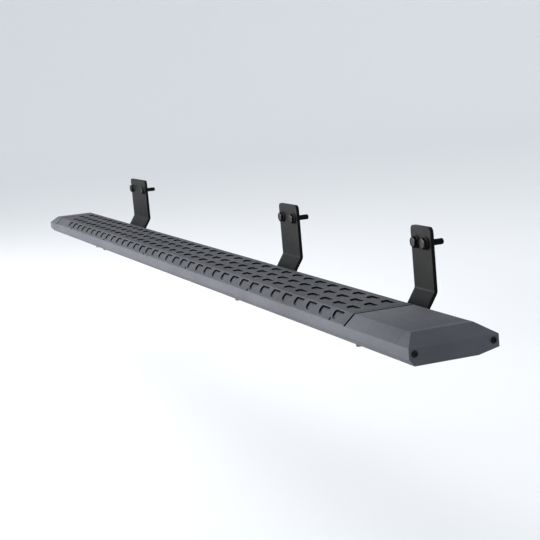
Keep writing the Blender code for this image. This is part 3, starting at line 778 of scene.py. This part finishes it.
def make_cap_screw(node, material, side):
    """A button head with a hexagon key socket, over a plain shank."""
    low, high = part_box(node)
    radius = (high.y - low.y) / 2
    seat = cap_screw_seat(side)
    height = max(abs(low.x), abs(high.x)) - seat
    length = high.x - low.x - height
    key = CAP_SCREW_KEY
    rings = [circle(CAP_SCREW_SHANK, -length), circle(CAP_SCREW_SHANK, 0.0)]
    rings.append(circle(radius - CAP_SCREW_RIM, 0.0))
    for step in range(CAP_SCREW_DOME_STEPS + 1):
        turn = CAP_SCREW_RIM_TURN + (math.pi / 2 - CAP_SCREW_RIM_TURN) * step / CAP_SCREW_DOME_STEPS
        reach = radius * math.cos(turn) if step else radius
        rings.append(circle(max(reach, CAP_SCREW_TOP), height * math.sin(turn)))
    rings.append(hexagon(key + CAP_SCREW_KEY_LEAD, height))
    rings.append(hexagon(key, height - CAP_SCREW_RIM))
    rings.append(hexagon(key, height - CAP_SCREW_KEY_DEPTH))
    bm = bmesh.new()
    ring_solid(bm, rings, closed=False)
    middle = center_of(node)
    turn = Matrix.Rotation(side * math.pi / 2, 4, "Y")
    place = Matrix.Translation((side * seat, middle.y, middle.z)) @ turn
    finish_turned(bm, f"{node}_finished", material, node, place)


def rivet_seat(middle, outward, low, high):
    """Where a rivet's axis leaves the chamfer: its head's top is at the box's outer corner."""
    top = Vector((middle.x, low.y if outward.y < 0 else high.y, high.z))
    radius = (high.x - low.x) / 2
    over = Vector((0, radius * abs(outward.z) * (1 if outward.y < 0 else -1), -radius * abs(outward.y)))
    return top + over


def make_rivet(node, material, section_turn):
    """A low domed head over a plain shank, square to the chamfer that it sits on."""
    low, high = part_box(node)
    radius = (high.x - low.x) / 2
    turn = Matrix.Rotation(section_turn, 4, "X")
    outward = turn @ Vector((0, 0, 1))
    middle = (low + high) / 2
    reach = (high.z - low.z - 2 * radius * abs(outward.y)) / abs(outward.z)
    shank = min(reach, RIVET_LENGTH) - RIVET_HEAD_HEIGHT
    rings = [circle(RIVET_SHANK_RADIUS, -shank, RIVET_SIDES), circle(RIVET_SHANK_RADIUS, 0.0, RIVET_SIDES)]
    rings.append(circle(radius * RIVET_FOOT_SHARE, 0.0, RIVET_SIDES))
    for step in range(RIVET_DOME_STEPS):
        lift = math.pi / 2 * step / RIVET_DOME_STEPS
        height = RIVET_HEAD_RIM + (RIVET_HEAD_HEIGHT - RIVET_HEAD_RIM) * math.sin(lift)
        rings.append(circle(radius * math.cos(lift), height, RIVET_SIDES))
    bm = bmesh.new()
    ring_solid(bm, rings, closed=False)
    place = Matrix.Translation(rivet_seat(middle, outward, low, high)) @ turn
    finish_turned(bm, f"{node}_finished", material, node, place)


def make_vehicle_bolt(node, material):
    """A flanged hexagon head, towards -Y, on a threaded shank."""
    low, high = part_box(node)
    middle = center_of(node)
    head = BOLT_FLANGE_HEIGHT - BOLT_FLANGE_EDGE + BOLT_HEAD_HEIGHT
    shank = high.y - low.y - head
    inner = M10_ACROSS_FLATS / 2 * BOLT_FACE_SHARE
    dish_edge, dish_floor = BOLT_DISH_SHARES
    rings = [
        circle(M10_RADIUS - BOLT_NECK, -shank * BOLT_NECK_SHARE), circle(M10_RADIUS, 0.0),
        circle(BOLT_FLANGE_RADIUS - BOLT_FLANGE_FOOT, 0.0),
        circle(BOLT_FLANGE_RADIUS, BOLT_LEAD), circle(BOLT_FLANGE_RADIUS, BOLT_FLANGE_EDGE),
        circle(BOLT_FLANGE_RADIUS * BOLT_FLANGE_TOP_SHARE, BOLT_FLANGE_HEIGHT),
        hexagon(M10_ACROSS_FLATS, BOLT_FLANGE_HEIGHT + BOLT_LEAD),
        hexagon(M10_ACROSS_FLATS, head, chamfer_from=inner, rise=-HEX_CHAMFER),
        circle(inner, head), circle(inner * dish_edge, head), circle(inner * dish_floor, head - BOLT_LEAD),
    ]
    bm = bmesh.new()
    ring_solid(bm, rings, closed=False)
    thread(bm, -shank, -shank * BOLT_THREAD_SHARE)
    turn = Matrix.Rotation(math.pi / 2, 4, "X")
    place = Matrix.Translation((middle.x, low.y + head, middle.z)) @ turn
    finish_turned(bm, f"{node}_finished", material, node, place)


# ---------------------------------------------------------------- stage, light and camera


def make_stage(floor_level):
    """A pale floor that curves up into a far wall all round."""
    profile = [(0.0, 0.0), (STAGE_RADIUS * 0.5, 0.0), (STAGE_RADIUS, 0.0)]
    for step in range(1, STAGE_STEPS + 1):
        turn = math.pi / 2 * step / STAGE_STEPS
        profile.append((STAGE_RADIUS + STAGE_RIM * math.sin(turn), STAGE_RIM * (1 - math.cos(turn))))
    bm = bmesh.new()
    rings = []
    for radius, z in profile[1:]:
        rings.append([
            bm.verts.new((
                radius * math.cos(2 * math.pi * step / STAGE_SIDES),
                radius * math.sin(2 * math.pi * step / STAGE_SIDES),
                floor_level + z,
            )) for step in range(STAGE_SIDES)
        ])
    bm.faces.new(rings[0])
    for lower, upper in zip(rings, rings[1:]):
        for index in range(STAGE_SIDES):
            after = (index + 1) % STAGE_SIDES
            bm.faces.new((lower[after], lower[index], upper[index], upper[after]))
    mesh = bpy.data.meshes.new("stage")
    bm.to_mesh(mesh)
    bm.free()
    mesh.shade_smooth()
    material = bpy.data.materials.new("stage_paper")
    material.use_nodes = True
    shader = material.node_tree.nodes["Principled BSDF"]
    shader.inputs["Base Color"].default_value = STAGE_COLOR
    shader.inputs["Roughness"].default_value = 0.7
    shader.inputs["Specular IOR Level"].default_value = 0.2
    mesh.materials.append(material)
    stage = bpy.data.objects.new("stage", mesh)
    bpy.context.scene.collection.objects.link(stage)


def add_light(name, place, target, size, size_y, power):
    light = bpy.data.lights.new(name, "AREA")
    light.shape = "RECTANGLE"
    light.size = size
    light.size_y = size_y
    light.energy = power
    lamp = bpy.data.objects.new(name, light)
    bpy.context.scene.collection.objects.link(lamp)
    lamp.location = place
    lamp.rotation_euler = (Vector(target) - Vector(place)).to_track_quat("-Z", "Y").to_euler()


def make_light():
    world = bpy.data.worlds.new("studio")
    world.use_nodes = True
    world.node_tree.nodes["Background"].inputs["Color"].default_value = SKY_COLOR
    world.node_tree.nodes["Background"].inputs["Strength"].default_value = SKY_STRENGTH
    bpy.context.scene.world = world
    add_light(
        "key", place=(-1.6, -3.2, 0.5), target=(-0.2, 0.0, -0.05), size=3.6, size_y=1.0, power=255.0
    )
    add_light("top", place=(-0.8, -0.8, 3.2), target=(0.0, 0.0, 0.0), size=3.0, size_y=1.6, power=20.0)


def make_camera():
    data = bpy.data.cameras.new("camera")
    data.sensor_width = CAMERA_SENSOR
    data.lens = CAMERA_LENS
    data.clip_start = 0.05
    data.clip_end = 100.0
    camera = bpy.data.objects.new("camera", data)
    bpy.context.scene.collection.objects.link(camera)
    right = Vector(CAMERA_RIGHT).normalized()
    up = -Vector(CAMERA_DOWN).normalized()
    back = right.cross(up).normalized()
    camera.matrix_world = Matrix.Translation(CAMERA_PLACE) @ Matrix((right, up, back)).transposed().to_4x4()
    bpy.context.scene.camera = camera


# ---------------------------------------------------------------- the model


def make_coats():
    """The board's coat, the tread's coat, and the brackets' and small screws' black, darkened past real black
    paint as painted shade.
    """
    board = coat_material(
        "satin_coat", color=(0.072, 0.075, 0.085), edge_highlight_color=(0.135, 0.14, 0.155), roughness=0.56,
        grain_scale=1500.0, grain_depth=0.00006, metallic=0.05, specular=0.12, streaks=0.25,
    )
    tread = coat_material(
        "tread_coat_fine", color=(0.062, 0.064, 0.073), edge_highlight_color=(0.26, 0.27, 0.285), roughness=0.60,
        grain_scale=1300.0, grain_depth=0.00008, metallic=0.05, specular=0.12, streaks=0.10,
        edge_radius=0.0022,
    )
    # Painted shade: these blacks are darker than real black paint, for the shade that the brackets and screws
    # sit in
    black = coat_material(
        "bracket_black_painted_shade", color=(0.0036, 0.0036, 0.0038), edge_highlight_color=(0.020, 0.020, 0.021), roughness=0.48,
        grain_scale=1100.0, grain_depth=0.00008, specular=0.07,
    )
    oxide = coat_material(
        "black_oxide_painted_shade", color=(0.0042, 0.0042, 0.0046), edge_highlight_color=(0.025, 0.025, 0.026), roughness=0.38,
        grain_scale=2600.0, grain_depth=0.00003, specular=0.12,
    )
    return board, tread, black, oxide


def make_board_pieces(origin, coat, shade_paint):
    """The extrusion, end panels and end caps, painted black as shade where a gap shows their inside."""
    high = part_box("board_extrusion")[1]
    seam = high.x + CAP_SEAM

    def across_board(edge):
        first, second = (vert.co for vert in edge.verts)
        return abs(first.x - second.x) < SHORTEST_BOARD_EDGE

    def at_seam(edge):
        return all(abs(abs(vert.co.x) - seam) < SEAM_REACH for vert in edge.verts)

    def under_cover(face):
        inside = abs(face.calc_center_median().y - origin.y) < UNDER_COVER_REACH
        return face.normal.z > FACING_UP and inside

    def end_face(face):
        inside = abs(face.calc_center_median().x) < high.x + END_FACE_REACH
        return abs(face.normal.x) > FACING_ALONG and inside

    materials = [coat, shade_paint]
    refine(
        "board_extrusion", materials, COAT_EDGE, SHORTEST_BOARD_EDGE, across_board,
        under_cover,
    )
    for end in ("near", "far"):
        refine(
            f"end_panel_{end}", materials, COAT_EDGE, SHORTEST_END_EDGE, shade_faces=end_face
        )
        refine(
            f"end_cap_{end}", materials, CAP_EDGE, SHORTEST_END_EDGE, at_seam, end_face
        )


def make_model():
    coat, tread, black, oxide = make_coats()
    zinc = zinc_material()
    shade_paint = painted_shade_material()

    low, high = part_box("board_extrusion")
    origin = Vector(((low.x + high.x) / 2, (low.y + high.y) / 2, low.z))
    make_tread_cover(origin, tread, shade_paint)
    make_board_pieces(origin, coat, shade_paint)
    deck_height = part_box("tread_cover")[1].z - origin.z
    front_turn = math.atan2(deck_height - WALL_TOP, FRONT_CHAMFER_RUN)
    rear_turn = -math.atan2(deck_height - WALL_TOP, REAR_CHAMFER_RUN)
    for node in sorted(frame["nodes"]):
        if node.startswith("bracket_"):
            refine(node, [black], STRAP_EDGE, SHORTEST_STRAP_EDGE)
        elif node.startswith("cap_screw_"):
            make_cap_screw(node, oxide, 1 if "near" in node else -1)
        elif node.startswith("cover_rivet_"):
            make_rivet(node, oxide, front_turn if "front" in node else rear_turn)
        elif node.startswith("vehicle_bolt_"):
            make_vehicle_bolt(node, oxide)
        elif node.startswith("t_bolt_"):
            make_t_bolt(node, zinc)
        elif node.startswith("washer_"):
            make_washer(node, zinc)
        elif node.startswith("nut_"):
            make_nut(node, zinc)


make_model()
make_stage(CAD_BOX[0].z - FLOOR_DROP)
make_light()
make_camera()
bpy.context.scene.view_settings.view_transform = "Standard"
